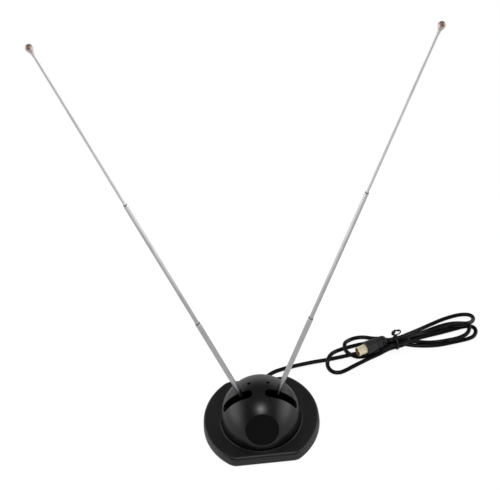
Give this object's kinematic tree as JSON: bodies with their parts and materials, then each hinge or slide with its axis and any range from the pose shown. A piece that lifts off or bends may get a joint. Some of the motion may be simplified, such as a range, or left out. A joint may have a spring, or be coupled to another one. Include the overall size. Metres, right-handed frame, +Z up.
{
  "type": "indoor tv antenna",
  "caption": "Indoor aerial: telescopic rods in a slotted ball on a weighted D-shaped plinth, with a tied coaxial lead and push-on plug.",
  "frame": {"origin": "on the surface it stands on, under the ball's upright axis", "axes": "+Z up, -Y to the front, +X to the right seen from the front"},
  "size_m": [0.3637, 0.176, 0.4295],
  "materials": {
    "plinth": "fine textured matte black",
    "ball": "smooth satin black",
    "disc": "fine textured matte black, left bare",
    "pad": "matte foam rubber",
    "plate": "plain moulded black",
    "weight": "plain steel",
    "carrier": "plain moulded black",
    "fasteners": "bright zinc plate",
    "chrome": "bright chrome plate",
    "cord": "satin black cord jacket",
    "tie": "black plastic covered wire",
    "plug_grip": "matte black moulding",
    "plug_metal": "bright gold-coloured plate",
    "plug_insulator": "off-white moulding"
  },
  "bodies": {
    "stand": {"base_shell": "plinth", "ball_shell": "ball", "front_disc": "disc", "anti_slip_pad": "pad", "base_plate": "plate", "ballast_disc": "weight", "rod_carrier": "carrier", "base_screws": "fasteners", "carrier_screws": "fasteners", "cord_grommet": "cord", "cord_lead": "cord", "cord_hank": "cord", "hank_tie": "tie", "plug_overmould": "plug_grip", "plug_shell": "plug_metal", "plug_pin": "plug_metal", "plug_insulator": "plug_insulator", "left_pivot_screw": "fasteners", "left_spring_washer": "fasteners", "left_pivot_nut": "fasteners", "right_pivot_screw": "fasteners", "right_spring_washer": "fasteners", "right_pivot_nut": "fasteners"},
    "left_rod": {"left_knuckle": "chrome", "left_tube_1": "chrome"},
    "left_middle": {"left_tube_2": "chrome"},
    "left_top": {"left_tube_3": "chrome", "left_tip": "chrome"},
    "right_rod": {"right_knuckle": "chrome", "right_tube_1": "chrome"},
    "right_middle": {"right_tube_2": "chrome"},
    "right_top": {"right_tube_3": "chrome", "right_tip": "chrome"}
  },
  "joints": [
    {"name": "left_swing", "type": "hinge", "parent": "stand", "child": "left_rod", "pos_m": [-0.0058, -0.004, 0.0172], "axis": [0, -1, 0], "range_deg": [-11.9, 41.1]},
    {"name": "left_middle_slide", "type": "slide", "parent": "left_rod", "child": "left_middle", "axis": [-0.2907, 0, 0.9568], "range_m": [-0.117, 0]},
    {"name": "left_top_slide", "type": "slide", "parent": "left_middle", "child": "left_top", "axis": [-0.2907, 0, 0.9568], "range_m": [-0.1374, 0]},
    {"name": "right_swing", "type": "hinge", "parent": "stand", "child": "right_rod", "pos_m": [0.0058, -0.004, 0.0172], "axis": [0, 1, 0], "range_deg": [-13.6, 39.4]},
    {"name": "right_middle_slide", "type": "slide", "parent": "right_rod", "child": "right_middle", "axis": [0.319, 0, 0.9478], "range_m": [-0.117, 0]},
    {"name": "right_top_slide", "type": "slide", "parent": "right_middle", "child": "right_top", "axis": [0.319, 0, 0.9478], "range_m": [-0.1374, 0]}
  ]
}
